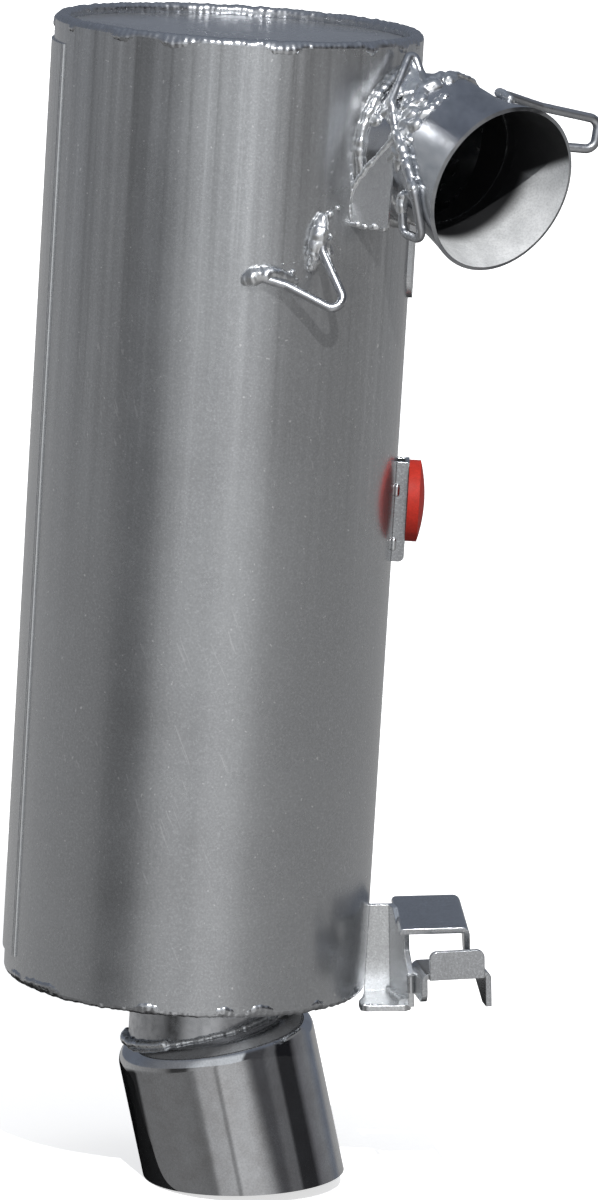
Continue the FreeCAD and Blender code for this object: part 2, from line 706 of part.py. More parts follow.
def main():
    os.makedirs("parts", exist_ok=True)

    body = shell()
    cap_low = BODY_LENGTH - CAP_RECESS - SHEET
    top_cap = end_cap(cap_low)
    bottom_hole = Part.makeCylinder(TUBE_R, 40, Vector(OUTLET_X, 0, -20), UP)
    bottom_cap = end_cap(CAP_RECESS - SHEET).cut(bottom_hole)
    write("shell", body)
    write("shell_seam_weld", shell_seam_weld(body))
    write("top_cap", top_cap)
    write("top_cap_weld", rim_weld(BODY_LENGTH - BEAD_R, [body, top_cap]))
    write("bottom_cap", bottom_cap)
    write("bottom_cap_weld", rim_weld(BEAD_R, [body, bottom_cap]))

    stub = inlet_stub()
    elbow = inlet_elbow()
    stub_weld = inlet_stub_weld()
    doubler = inlet_doubler()
    write("inlet_stub", stub)
    write("inlet_stub_weld", stub_weld)
    write("inlet_doubler", doubler)
    write("inlet_elbow", elbow)
    write("inlet_mitre_weld", mitre_weld(stub, elbow))

    neck = [body_core(), stub, elbow, stub_weld]
    gusset = inlet_gusset(neck)
    neck.append(gusset)
    write("inlet_gusset", gusset)
    write("inlet_gusset_weld", inlet_gusset_weld(neck))

    hooks = (
        ("front", front_hook_points(), UP, Vector(1, 0, -0.2), 9.0, 3.0),
        ("rear", rear_hook_points(), Vector(1, 0.6, 0), Vector(1, 0.6, 0.2), 5.0, 2.6),
        ("top", top_hook_points(), Vector(0, -0.3, -1), Vector(1, -0.4, 0), 4.0, 2.4),
        ("lower", lower_hook_points(), UP, UP, 4.0, 2.4),
    )
    for place, points, first_along, last_along, length, radius in hooks:
        hook = bent_rod(points).cut(stub).cut(elbow).cut(body_core())
        write("spring_hook_" + place, hook)
        welds = hook_welds(points, first_along, last_along, length, radius, neck + [hook])
        write("spring_hook_" + place + "_welds", welds)

    bracket = bumper_bracket()
    write("bumper_bracket", bracket)
    write("bumper_bracket_welds", bumper_bracket_welds(bracket))
    write("bumper_pad", bumper_pad())

    upper_clip = hanger_upper_clip()
    angle = hanger_angle(upper_clip)
    foot = hanger_foot()
    write("hanger_angle", angle)
    write("hanger_foot", foot)
    lower_clip = hanger_lower_clip([angle, upper_clip])
    write("hanger_upper_clip", upper_clip)
    write("hanger_lower_clip", lower_clip)
    write("hanger_welds", hanger_welds([body_core(), angle, foot, lower_clip]))

    tip = outlet_tip()
    write("outlet_stub", outlet_stub())
    write("outlet_cap_weld", outlet_cap_weld())
    write("outlet_tip", tip)
    write("outlet_tip_weld", outlet_tip_weld(tip))

    write("upper_baffle", baffle(UPPER_BAFFLE_Z))
    write("lower_baffle", baffle(LOWER_BAFFLE_Z))
    write("perforated_core", perforated_core())
    write("steel_wool_wrap", packing_layer(TUBE_R, TUBE_R + WOOL_THICKNESS, OUTLET_X))
    write("fibre_packing", packing_layer(TUBE_R + WOOL_THICKNESS, BODY_R - SHEET, 0))


main()
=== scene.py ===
"""Looks of the welded exhaust muffler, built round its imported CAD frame."""
import json
import math
import random

import bmesh
import bpy
from mathutils import Matrix, Vector, noise


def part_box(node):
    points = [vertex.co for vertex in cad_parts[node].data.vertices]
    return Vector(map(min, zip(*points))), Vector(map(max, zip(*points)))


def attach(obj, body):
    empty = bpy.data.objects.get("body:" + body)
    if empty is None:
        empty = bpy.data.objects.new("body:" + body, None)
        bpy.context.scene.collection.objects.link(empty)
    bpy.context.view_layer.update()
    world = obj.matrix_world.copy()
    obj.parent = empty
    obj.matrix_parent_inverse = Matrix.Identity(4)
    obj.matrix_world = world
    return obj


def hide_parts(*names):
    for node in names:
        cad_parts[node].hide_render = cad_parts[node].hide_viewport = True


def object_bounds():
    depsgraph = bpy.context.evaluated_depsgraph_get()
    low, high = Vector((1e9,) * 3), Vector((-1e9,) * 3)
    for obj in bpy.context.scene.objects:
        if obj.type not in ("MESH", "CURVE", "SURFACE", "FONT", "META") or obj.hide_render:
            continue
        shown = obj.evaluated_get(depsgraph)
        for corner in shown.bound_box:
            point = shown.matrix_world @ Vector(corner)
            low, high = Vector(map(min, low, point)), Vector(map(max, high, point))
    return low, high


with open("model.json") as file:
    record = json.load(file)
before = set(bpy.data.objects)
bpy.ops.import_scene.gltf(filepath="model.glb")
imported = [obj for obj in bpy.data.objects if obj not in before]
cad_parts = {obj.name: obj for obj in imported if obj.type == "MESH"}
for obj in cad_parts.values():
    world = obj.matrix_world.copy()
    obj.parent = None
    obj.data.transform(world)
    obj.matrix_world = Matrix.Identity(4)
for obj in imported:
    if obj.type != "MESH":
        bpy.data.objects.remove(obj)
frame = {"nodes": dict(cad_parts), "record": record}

CAD_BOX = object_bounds()
MM = 0.001

# The body's own frame: millimetres, z up from the bottom rim, x = y = 0 on the body's axis.
CAP_LOW, CAP_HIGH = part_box("bottom_cap")
RIM_LOW, RIM_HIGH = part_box("bottom_cap_weld")[0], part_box("top_cap_weld")[1]
BODY_FOOT = Vector(((CAP_LOW.x + CAP_HIGH.x) / 2, (CAP_LOW.y + CAP_HIGH.y) / 2, RIM_LOW.z))
BODY_LENGTH = (RIM_HIGH.z - RIM_LOW.z) / MM
BODY_R = 63.5

# Neck and outlet, as part.py has them
TUBE_R = 25.4
STUB_TURN = math.radians(-23.4)
STUB_DIR = Vector((math.cos(STUB_TURN), math.sin(STUB_TURN), 0))
STUB_SIDE = Vector((math.sin(STUB_TURN), -math.cos(STUB_TURN), 0))
STUB_Z = 301.0
STUB_REACH = 76.5
MITRE = STUB_DIR * STUB_REACH + Vector((0, 0, STUB_Z))
NECK_DIR = Vector((0.60, -0.76, -0.25)).normalized()
NECK_LENGTH = 36.5
TIP_LEAN = math.radians(15)
OUTLET_X = 7.0
TIP_TOP_Z = -16.3
TIP_SHIFT = 3.9
TIP_TOP = Vector((OUTLET_X + TIP_SHIFT * math.cos(TIP_LEAN), 0, TIP_TOP_Z + TIP_SHIFT * math.sin(TIP_LEAN)))


def at(x, y, z):
    """A point given in the body's own millimetres, in the frame's metres."""
    return BODY_FOOT + Vector((x, y, z)) * MM


# ---- camera ----

CAMERA_AIM = at(32.3, 0.0, 137.3)
CAMERA_ELEVATION = math.radians(10.0)
CAMERA_DISTANCE = 2.48
CAMERA_ROLL = math.radians(3.5)
CAMERA_LENS = 213.5


def add_camera():
    data = bpy.data.cameras.new("camera")
    data.lens = CAMERA_LENS
    data.sensor_width = 36.0
    data.clip_start = 0.05
    data.clip_end = 50.0
    camera = bpy.data.objects.new("camera", data)
    bpy.context.scene.collection.objects.link(camera)
    back = Vector((0, -math.cos(CAMERA_ELEVATION), math.sin(CAMERA_ELEVATION)))
    side = Vector((1, 0, 0))
    up = back.cross(side)
    right = side * math.cos(CAMERA_ROLL) + up * math.sin(CAMERA_ROLL)
    top = up * math.cos(CAMERA_ROLL) - side * math.sin(CAMERA_ROLL)
    turn = Matrix((right, top, back)).transposed().to_4x4()
    camera.matrix_world = Matrix.Translation(CAMERA_AIM + back * CAMERA_DISTANCE) @ turn
    bpy.context.scene.camera = camera


# ---- node helpers ----

def new_tree(owner):
    owner.use_nodes = True
    tree = owner.node_tree
    tree.nodes.clear()
    return tree


def node(tree, kind, **settings):
    made = tree.nodes.new(kind)
    for name, value in settings.items():
        setattr(made, name, value)
    return made


def feed(tree, socket, value):
    """Link a socket to another, or set its constant."""
    if isinstance(value, (int, float)):
        socket.default_value = value
    elif isinstance(value, tuple):
        socket.default_value = (*value, 1.0)
    else:
        tree.links.new(value, socket)


def ramp(tree, factor, stops):
    """A colour ramp from (position, grey or colour) stops."""
    made = node(tree, "ShaderNodeValToRGB")
    elements = made.color_ramp.elements
    while len(elements) < len(stops):
        elements.new(0.5)
    for element, (position, value) in zip(elements, stops):
        element.position = position
        colour = (value, value, value) if isinstance(value, (int, float)) else value
        element.color = (*colour, 1.0)
    tree.links.new(factor, made.inputs["Fac"])
    return made.outputs["Color"]


def maths(tree, operation, first, second):
    made = node(tree, "ShaderNodeMath", operation=operation)
    feed(tree, made.inputs[0], first)
    feed(tree, made.inputs[1], second)
    return made.outputs[0]


def between(tree, value, low, high):
    """0 below low, 1 above high, smooth in between."""
    made = node(tree, "ShaderNodeMapRange", interpolation_type="SMOOTHSTEP")
    made.inputs["From Min"].default_value = low
    made.inputs["From Max"].default_value = high
    tree.links.new(value, made.inputs["Value"])
    return made.outputs["Result"]


def mix_colour(tree, factor, first, second, blend="MIX"):
    made = node(tree, "ShaderNodeMix", data_type="RGBA", blend_type=blend)
    feed(tree, made.inputs["Factor"], factor)
    feed(tree, made.inputs[6], first)
    feed(tree, made.inputs[7], second)
    return made.outputs[2]


def mapped(tree, place, stretch=(1, 1, 1), turn=(0, 0, 0)):
    mapping = node(tree, "ShaderNodeMapping")
    mapping.inputs["Scale"].default_value = stretch
    mapping.inputs["Rotation"].default_value = turn
    tree.links.new(place, mapping.inputs["Vector"])
    return mapping.outputs["Vector"]


def noise_texture(tree, place, scale, stretch=(1, 1, 1), detail=3.0, roughness=0.55):
    made = node(tree, "ShaderNodeTexNoise")
    made.inputs["Scale"].default_value = scale
    made.inputs["Detail"].default_value = detail
    made.inputs["Roughness"].default_value = roughness
    tree.links.new(mapped(tree, place, stretch), made.inputs["Vector"])
    return made.outputs["Fac"]


def bump(tree, height, strength, distance, onto=None):
    made = node(tree, "ShaderNodeBump")
    made.inputs["Strength"].default_value = strength
    made.inputs["Distance"].default_value = distance
    tree.links.new(height, made.inputs["Height"])
    if onto is not None:
        tree.links.new(onto, made.inputs["Normal"])
    return made.outputs["Normal"]


def soft_edges(tree, radius):
    """Normals that round off every edge a little."""
    made = node(tree, "ShaderNodeBevel", samples=6)
    made.inputs["Radius"].default_value = radius
    return made.outputs["Normal"]


def surface(tree, colour, roughness, normal, **constants):
    shader = node(tree, "ShaderNodeBsdfPrincipled")
    for name, value in constants.items():
        shader.inputs[name.replace("_", " ")].default_value = value
    tree.links.new(colour, shader.inputs["Base Color"])
    tree.links.new(roughness, shader.inputs["Roughness"])
    tree.links.new(normal, shader.inputs["Normal"])
    return shader.outputs["BSDF"]


def choose(tree, factor, first, second):
    """The first shader where the factor is 0, the second where it is 1."""
    made = node(tree, "ShaderNodeMixShader")
    tree.links.new(factor, made.inputs["Fac"])
    tree.links.new(first, made.inputs[1])
    tree.links.new(second, made.inputs[2])
    return made.outputs[0]


def finish_material(tree, shader):
    output = node(tree, "ShaderNodeOutputMaterial")
    tree.links.new(shader, output.inputs["Surface"])


def principled(tree, colour, roughness, normal, **constants):
    finish_material(tree, surface(tree, colour, roughness, normal, **constants))


def object_place(tree):
    return node(tree, "ShaderNodeTexCoord").outputs["Object"]


def body_turn(tree, place):
    """Turn about the body's axis as 0 to 1: 0.5 is the front, more is to the right."""
    apart = node(tree, "ShaderNodeSeparateXYZ")
    tree.links.new(place, apart.inputs["Vector"])
    x = maths(tree, "SUBTRACT", apart.outputs[0], BODY_FOOT.x)
    y = maths(tree, "SUBTRACT", BODY_FOOT.y, apart.outputs[1])
    turn = maths(tree, "ARCTAN2", x, y)
    return maths(tree, "ADD", maths(tree, "DIVIDE", turn, 2 * math.pi), 0.5), apart.outputs[2]


# ---- materials ----

SHELL_GREY = 0.555
SHELL_ROUGH = 0.27
SCRATCH_COLOUR = (0.85, 0.85, 0.86)
# Inside the mouth, painted shadow, a near-black colour where the upper lip's shade falls, covers what lies
# beyond a plane that looks along PAINTED_SHADOW_EDGE and passes PAINTED_SHADOW_HEIGHT metres from the centre
# of the mouth.
PAINTED_SHADOW_EDGE = (-0.45, 0.1, 1.0)
PAINTED_SHADOW_HEIGHT = 0.003


def scratches(tree, place, turn):
    """Long thin scratches, where a second noise lets them show."""
    lines = noise_texture(tree, mapped(tree, place, turn=turn), 26.0, stretch=(30, 30, 0.8), detail=2.0)
    marks = ramp(tree, lines, [(0.655, 0.0), (0.675, 1.0)])
    where = ramp(tree, noise_texture(tree, place, 17.0), [(0.52, 0.0), (0.62, 1.0)])
    return maths(tree, "MULTIPLY", maths(tree, "MULTIPLY", marks, where), 0.35)


def satin_steel(name, tone, rough, grain=0.13, metallic=0.9, edges=0.0):
    """Silver-coated sheet: fine grain, faint upright streaks, soft blotches, a few scratches."""
    material = bpy.data.materials.new(name)
    tree = new_tree(material)
    place = object_place(tree)
    blotches = noise_texture(tree, place, 26.0, detail=6.0)
    streaks = noise_texture(tree, place, 7.0, stretch=(34, 34, 0.9), detail=4.0)
    fine = noise_texture(tree, place, 1500.0, detail=3.0, roughness=0.7)
    colour = ramp(tree, blotches, [
        (0.30, tuple(c * 0.93 for c in tone)),
        (0.70, tuple(c * 1.06 for c in tone)),
    ])
    colour = mix_colour(tree, 1.0, colour, ramp(tree, streaks, [(0.3, 0.95), (0.7, 1.04)]), "MULTIPLY")
    sparkle = ramp(tree, fine, [(0.30, 1 - grain), (0.55, 1.0), (0.72, 1 + 1.6 * grain)])
    colour = mix_colour(tree, 1.0, colour, sparkle, "MULTIPLY")
    patchy = ramp(tree, blotches, [(0.3, rough * 0.9), (0.7, rough * 1.12)])
    base = soft_edges(tree, edges) if edges else None
    waves = noise_texture(tree, place, 9.0, stretch=(1, 1, 0.35), detail=2.0)
    normal = bump(tree, waves, 0.5, 0.0012, base)
    normal = bump(tree, fine, 0.22, 0.00005, normal)
    colour = mix_colour(tree, scratches(tree, place, (0.5, 0.4, 0)), colour, SCRATCH_COLOUR)
    principled(tree, colour, patchy, normal, Metallic=metallic)
    return material


def shell_steel():
    """The body's coating, with stains, and faint lines that run down it near the top: dark painted
    reflections and one bright painted highlight.
    """
    material = bpy.data.materials.new("shell_steel")
    tree = new_tree(material)
    place = object_place(tree)
    turn, height = body_turn(tree, place)
    blotches = noise_texture(tree, place, 24.0, detail=7.0, roughness=0.6)
    fine = noise_texture(tree, place, 1300.0, detail=3.0, roughness=0.7)
    upright = noise_texture(tree, place, 5.0, stretch=(60, 60, 0.7), detail=5.0, roughness=0.6)
    tone = (SHELL_GREY * 0.985, SHELL_GREY, SHELL_GREY * 1.02)
    colour = ramp(tree, blotches, [
        (0.28, tuple(c * 0.94 for c in tone)),
        (0.72, tuple(c * 1.05 for c in tone)),
    ])
    near_top = between(tree, height, at(0, 0, 90).z, at(0, 0, 330).z)
    streaked = ramp(tree, upright, [(0.28, 0.68), (0.42, 0.93), (0.58, 1.03), (0.72, 1.25)])
    streaked = mix_colour(tree, near_top, (1.0, 1.0, 1.0), streaked)
    colour = mix_colour(tree, 1.0, colour, streaked, "MULTIPLY")
    # painted reflections: dark lines at fixed turns round the body, and a bright painted highlight line at
    # 0.519, fading out lower down
    lines = ramp(tree, turn, [
        (0.358, 1.0), (0.364, 0.72), (0.370, 1.0), (0.405, 1.0), (0.414, 0.80), (0.424, 0.78),
        (0.432, 1.0), (0.513, 1.0), (0.519, 1.35), (0.524, 1.0), (0.535, 1.0),
    ])
    lines = mix_colour(tree, near_top, (1.0, 1.0, 1.0), lines)
    colour = mix_colour(tree, 1.0, colour, lines, "MULTIPLY")
    sparkle = ramp(tree, fine, [(0.30, 0.86), (0.55, 1.0), (0.72, 1.22)])
    colour = mix_colour(tree, 1.0, colour, sparkle, "MULTIPLY")
    specks = noise_texture(tree, place, 620.0, detail=1.0)
    colour = mix_colour(tree, ramp(tree, specks, [(0.74, 0.0), (0.78, 0.7)]), colour, (0.95, 0.95, 0.95))
    patchy = ramp(tree, blotches, [(0.3, SHELL_ROUGH * 0.88), (0.7, SHELL_ROUGH * 1.12)])
    waves = noise_texture(tree, place, 8.0, stretch=(1, 1, 0.3), detail=2.0)
    normal = bump(tree, waves, 0.6, 0.0014)
    normal = bump(tree, upright, 0.25, 0.00012, normal)
    normal = bump(tree, fine, 0.10, 0.00005, normal)
    colour = mix_colour(tree, scratches(tree, place, (0.0, 0.42, 0)), colour, SCRATCH_COLOUR)
    principled(tree, colour, patchy, normal, Metallic=0.88, Coat_Weight=0.15)
    return material


def bright_metal(name, tone, rough, ripple=0.15, ripple_scale=160.0, edges=0.0):
    """Glossy metal with slow waves in its surface and a little dirt."""
    material = bpy.data.materials.new(name)
    tree = new_tree(material)
    place = object_place(tree)
    waves = noise_texture(tree, place, ripple_scale, detail=3.0)
    dirt = noise_texture(tree, place, 380.0, detail=4.0)
    colour = ramp(tree, dirt, [(0.30, tuple(c * 0.82 for c in tone)), (0.60, tone)])
    patchy = ramp(tree, dirt, [(0.3, rough * 1.5), (0.7, rough * 0.8)])
    normal = bump(tree, waves, ripple, 0.0004, soft_edges(tree, edges) if edges else None)
    principled(tree, colour, patchy, normal, Metallic=1.0)
    return material


def neck_outside(tree, place, dirt):
    waves = noise_texture(tree, place, 55.0, detail=3.0)
    streaks = noise_texture(tree, place, 90.0, stretch=(1.6, 0.35, 2.0), detail=4.0)
    colour = ramp(tree, streaks, [(0.30, (0.42, 0.44, 0.47)), (0.62, (0.62, 0.63, 0.65))])
    normal = bump(tree, waves, 0.35, 0.0008)
    normal = bump(tree, streaks, 0.25, 0.0003, normal)
    return surface(tree, colour, ramp(tree, dirt, [(0.3, 0.24), (0.7, 0.16)]), normal, Metallic=1.0)


def neck_inside(tree, place, dirt):
    fine = noise_texture(tree, place, 1400.0, detail=3.0)
    depth, height = neck_coordinates(tree, place)
    # painted shadow: near-black above the plane where the upper lip's shade falls, and painted shade from
    # about 13 mm inside the mouth, fully black past 21 mm
    painted_shade_mask = maths(tree, "MAXIMUM", between(tree, height, -0.004, 0.0), between(tree, depth, 0.012, 0.004))
    pale = ramp(tree, dirt, [(0.30, (0.64, 0.65, 0.655)), (0.65, (0.86, 0.87, 0.875))])
    pale = mix_colour(tree, 1.0, pale, ramp(tree, fine, [(0.3, 0.85), (0.6, 1.05)]), "MULTIPLY")
    colour = mix_colour(tree, painted_shade_mask, pale, (0.006, 0.006, 0.007))
    rough = ramp(tree, dirt, [(0.3, 0.55), (0.7, 0.7)])
    return surface(tree, colour, rough, bump(tree, fine, 0.2, 0.00006))


def neck_tube():
    """The neck's slanting tube: glossy outside, and a matte pale inside with painted shadow, near-black,
    above a plane and deep inside.
    """
    material = bpy.data.materials.new("neck_tube")
    tree = new_tree(material)
    place = object_place(tree)
    dirt = noise_texture(tree, place, 120.0, detail=6.0)
    outside, inside = neck_outside(tree, place, dirt), neck_inside(tree, place, dirt)
    finish_material(tree, choose(tree, faces_axis(tree, place), outside, inside))
    return material


def from_mouth(tree, place):
    """The place as a vector from a point on the neck's axis."""
    mouth = at(*(MITRE + NECK_DIR * NECK_LENGTH))
    offset = node(tree, "ShaderNodeVectorMath", operation="SUBTRACT")
    tree.links.new(place, offset.inputs[0])
    offset.inputs[1].default_value = mouth
    return offset.outputs["Vector"]


def dot_with(tree, vector, direction):
    made = node(tree, "ShaderNodeVectorMath", operation="DOT_PRODUCT")
    tree.links.new(vector, made.inputs[0])
    made.inputs[1].default_value = direction
    return made.outputs["Value"]


def neck_coordinates(tree, place):
    """Metres outwards along the neck from 25 mm inside the mouth, and metres above the painted shadow's
    edge.
    """
    offset = from_mouth(tree, place)
    along = maths(tree, "ADD", dot_with(tree, offset, NECK_DIR), 0.025)
    above = dot_with(tree, offset, Vector(PAINTED_SHADOW_EDGE).normalized())
    return along, maths(tree, "SUBTRACT", above, PAINTED_SHADOW_HEIGHT)


def faces_axis(tree, place):
    """1 where the surface looks towards the neck's axis, 0 where it looks away."""
    offset = from_mouth(tree, place)
    along = dot_with(tree, offset, NECK_DIR)
    foot = node(tree, "ShaderNodeVectorMath", operation="SCALE")
    foot.inputs[0].default_value = NECK_DIR
    tree.links.new(along, foot.inputs["Scale"])
    radial = node(tree, "ShaderNodeVectorMath", operation="SUBTRACT")
    tree.links.new(offset, radial.inputs[0])
    tree.links.new(foot.outputs["Vector"], radial.inputs[1])
    facing = node(tree, "ShaderNodeVectorMath", operation="DOT_PRODUCT")
    tree.links.new(radial.outputs["Vector"], facing.inputs[0])
    tree.links.new(node(tree, "ShaderNodeNewGeometry").outputs["Normal"], facing.inputs[1])
    return maths(tree, "LESS_THAN", facing.outputs["Value"], 0.0)


def polished_tip():
    """Polished tube with fine lines along it from the polishing belt."""
    material = bpy.data.materials.new("polished_tip")
    tree = new_tree(material)
    place = object_place(tree)
    along = mapped(tree, place, turn=(0, -TIP_LEAN, 0))
    belt = noise_texture(tree, along, 16.0, stretch=(60, 60, 1.2), detail=6.0)
    dirt = noise_texture(tree, place, 160.0, detail=6.0)
    fine = noise_texture(tree, place, 1500.0, detail=2.0)
    colour = ramp(tree, dirt, [(0.32, (0.58, 0.58, 0.59)), (0.62, (0.66, 0.67, 0.69))])
    colour = mix_colour(tree, 1.0, colour, ramp(tree, fine, [(0.3, 0.90), (0.7, 1.08)]), "MULTIPLY")
    patchy = ramp(tree, dirt, [(0.3, 0.055), (0.7, 0.025)])
    normal = bump(tree, belt, 0.06, 0.00006)
    principled(tree, colour, patchy, normal, Metallic=0.97)
    return material


def rubber(name, tone):
    material = bpy.data.materials.new(name)
    tree = new_tree(material)
    place = object_place(tree)
    mottling = noise_texture(tree, place, 260.0, detail=4.0)
    fine = noise_texture(tree, place, 1400.0, detail=3.0)
    colour = ramp(tree, mottling, [(0.3, tuple(c * 0.80 for c in tone)), (0.7, tone)])
    colour = mix_colour(tree, 1.0, colour, ramp(tree, fine, [(0.3, 0.85), (0.7, 1.1)]), "MULTIPLY")
    patchy = ramp(tree, mottling, [(0.3, 0.50), (0.7, 0.62)])
    normal = bump(tree, fine, 0.25, 0.0001)
    principled(tree, colour, patchy, normal, Specular_IOR_Level=0.3)
    return material


def make_materials():
    return {
        "satin_steel": satin_steel("satin_steel", (0.64, 0.65, 0.665), 0.27),
        "bright_steel": bright_metal(
            "bright_steel", (0.58, 0.59, 0.61), 0.20, ripple=0.35, ripple_scale=60.0,
        ),
        "hook_rod": bright_metal("hook_rod", (0.56, 0.57, 0.59), 0.30, ripple=0.3),
        "weld_bead": bright_metal("weld_bead", (0.80, 0.81, 0.82), 0.27, ripple=0.2, ripple_scale=300.0),
        "rim_bead": bright_metal("rim_bead", (0.62, 0.63, 0.65), 0.25, ripple=0.25, ripple_scale=250.0),
        "pale_bracket": satin_steel("pale_bracket", (0.84, 0.85, 0.86), 0.26, 0.16, 1.0, edges=0.0005),
        "polished_tip": polished_tip(),
        "bracket_steel": satin_steel("bracket_steel", (0.54, 0.55, 0.565), 0.22, 0.22, 1.0, edges=0.0005),
        "red_rubber": rubber("red_rubber", (0.62, 0.036, 0.020)),
        "inner_steel": satin_steel("inner_steel", (0.30, 0.29, 0.28), 0.42, 0.10),
        "steel_wool": satin_steel("steel_wool", (0.26, 0.25, 0.24), 0.55, 0.35),
        "glass_fibre": rubber("glass_fibre", (0.80, 0.74, 0.52)),
    }


def paint(name, material):
    slots = frame["nodes"][name].data.materials
    slots.clear()
    slots.append(material)


def paint_frame(materials):
    """Give every CAD piece the procedural material of its slot, and a few pieces one of their own."""
    for part in frame["record"]["subparts"]:
        paint(part["node"], materials[part["material_slot"]])
    paint("shell", shell_steel())
    paint("inlet_elbow", neck_tube())
    paint("inlet_gusset", satin_steel("gusset_steel", (0.93, 0.94, 0.95), 0.26, 0.16))
    paint("hanger_angle", materials["pale_bracket"])
    paint("hanger_foot", materials["pale_bracket"])


# ---- weld metal ----

def unit_ball():
    """Corners and faces of a ball of radius 1."""
    mesh = bmesh.new()
    bmesh.ops.create_icosphere(mesh, subdivisions=2, radius=1.0)
    corners = [vertex.co.copy() for vertex in mesh.verts]
    faces = [[vertex.index for vertex in face.verts] for face in mesh.faces]
    mesh.free()
    return corners, faces


def ball_mesh(name, drops):
    corners, faces = unit_ball()
    all_corners, all_faces = [], []
    for point, radius in drops:
        first = len(all_corners)
        all_corners += [at(*point) + corner * radius * MM for corner in corners]
        all_faces += [[first + index for index in face] for face in faces]
    mesh = bpy.data.meshes.new(name)
    mesh.from_pydata(all_corners, [], all_faces)
    return mesh


def roughen(mesh, wobble, seed):
    """Push the surface in and out a little, and keep it inside the part's own box."""
    low, high = CAD_BOX
    moved = []
    for vertex in mesh.vertices:
        ripple = noise.noise(vertex.co / (2.6 * MM) + Vector((seed, 0, 0)))
        point = vertex.co + vertex.normal * ripple * wobble * MM
        moved += [min(max(point[axis], low[axis]), high[axis]) for axis in range(3)]
    mesh.vertices.foreach_set("co", moved)
    mesh.update()


def melt(name, drops, material, voxel=0.45, wobble=0.25, nodes=(), seed=0.0, soften=4):
    """One piece of weld metal from overlapping drops: (point in millimetres, radius in millimetres)."""
    source = bpy.data.objects.new(name + "_drops", ball_mesh(name + "_drops", drops))
    bpy.context.scene.collection.objects.link(source)
    remesh = source.modifiers.new("melt", "REMESH")
    remesh.mode = "VOXEL"
    remesh.voxel_size = voxel * MM
    smooth = source.modifiers.new("smooth", "SMOOTH")
    smooth.iterations = soften
    smooth.factor = 0.5
    graph = bpy.context.evaluated_depsgraph_get()
    melted = bpy.data.meshes.new_from_object(source.evaluated_get(graph))
    bpy.data.objects.remove(source)
    melted.name = name
    roughen(melted, wobble, seed)
    melted.polygons.foreach_set("use_smooth", [True] * len(melted.polygons))
    piece = bpy.data.objects.new(name, melted)
    bpy.context.scene.collection.objects.link(piece)
    melted.materials.append(material)
    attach(piece, "root")
    if nodes:
        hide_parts(*nodes)


def drops_along(points, radius, spacing, seed, uneven=0.18, jitter=0.15):
    """Drops at even steps along a path, each a little off and a little larger or smaller."""
    chance = random.Random(seed)
    drops = []
    for first, second in zip(points, points[1:]):
        steps = max(1, round((second - first).length / spacing))
        for step in range(steps):
            point = first.lerp(second, step / steps)
            off = Vector([chance.uniform(-jitter, jitter) for axis in range(3)])
            drops.append((point + off, radius * (1 + chance.uniform(-uneven, uneven * 0.4))))
    return drops


def ring_points(centre_r, z, steps=180):
    points = []
    for step in range(steps + 1):
        angle = 2 * math.pi * step / steps
        points.append(Vector((centre_r * math.cos(angle), centre_r * math.sin(angle), z)))
    return points


def saddle_point(turn, out=0.0):
    """On the line where the stub meets the body; turn in degrees from the top towards the front."""
    angle = math.radians(turn)
    offset = STUB_SIDE * math.sin(angle) + Vector((0, 0, math.cos(angle)))
    across = (TUBE_R + out) * math.sin(angle)
    reach = math.sqrt((BODY_R + out) ** 2 - across ** 2)
    return STUB_DIR * reach + offset * (TUBE_R + out) + Vector((0, 0, STUB_Z))


def mitre_point(turn, out=0.0):
    """On the line where the neck's two tubes meet; turn in degrees from the top towards the front."""
    angle = math.radians(turn)
    offset = STUB_SIDE * math.sin(angle) + Vector((0, 0, math.cos(angle)))
    start = MITRE + offset * (TUBE_R + out)
    normal = (STUB_DIR + NECK_DIR).normalized()
    return start + STUB_DIR * ((MITRE - start).dot(normal) / STUB_DIR.dot(normal))


def on_shell(x, z, out=0.0):
    """A point of the body's front at this x and z, standing out by out."""
    r = BODY_R + out
    return Vector((x * r / BODY_R, -math.sqrt(BODY_R ** 2 - x ** 2) * r / BODY_R, z))


def outlet_ring(turn, r, lift):
    """Around the stub on the tip's sloping top; turn in degrees from the front towards the right."""
    angle = math.radians(turn)
    x = OUTLET_X + r * math.sin(angle)
    y = -r * math.cos(angle)
    slope = math.tan(TIP_LEAN)
    z = TIP_TOP.z + slope * (x - TIP_TOP.x) + lift
    return Vector((x, y, z))


def neck_point(reach, turn, out=0.0):
    """On the slanting tube, reach along it from the mitre; turn in degrees from its top to the back."""
    angle = math.radians(turn)
    upright = Vector((0, 0, 1))
    up = (upright - NECK_DIR * upright.dot(NECK_DIR)).normalized()
    side = up.cross(NECK_DIR)
    return MITRE + NECK_DIR * reach + (up * math.cos(angle) + side * math.sin(angle)) * (TUBE_R + out)


def add_rim_welds(materials):
    bead = materials["rim_bead"]
    rims = (("top_cap_weld", BODY_LENGTH - 2.7, 2.5, 3), ("bottom_cap_weld", 2.8, 2.5, 5))
    for replaced, z, radius, seed in rims:
        path = ring_points(BODY_R - 2.5, z)
        drops = drops_along(path, radius, 2.1, seed, 0.07, 0.12)
        chance = random.Random(seed + 50)
        towards_shell = 1 if z < 10 else -1
        for cluster in range(20):
            start, length = chance.randrange(len(path)), chance.randrange(2, 7)
            rise = towards_shell * chance.uniform(0.5, 1.7)
            for step in range(length):
                point = path[(start + step) % (len(path) - 1)]
                outward = Vector((point.x, point.y, 0)).normalized()
                swell = math.sin(math.pi * (step + 0.5) / length)
                lifted = point + outward + Vector((0, 0, rise * swell))
                drops.append((lifted, radius * (0.6 + 0.3 * swell)))
        melt(replaced + "_bead", drops, bead, 0.5, 0.22, (replaced,), seed)


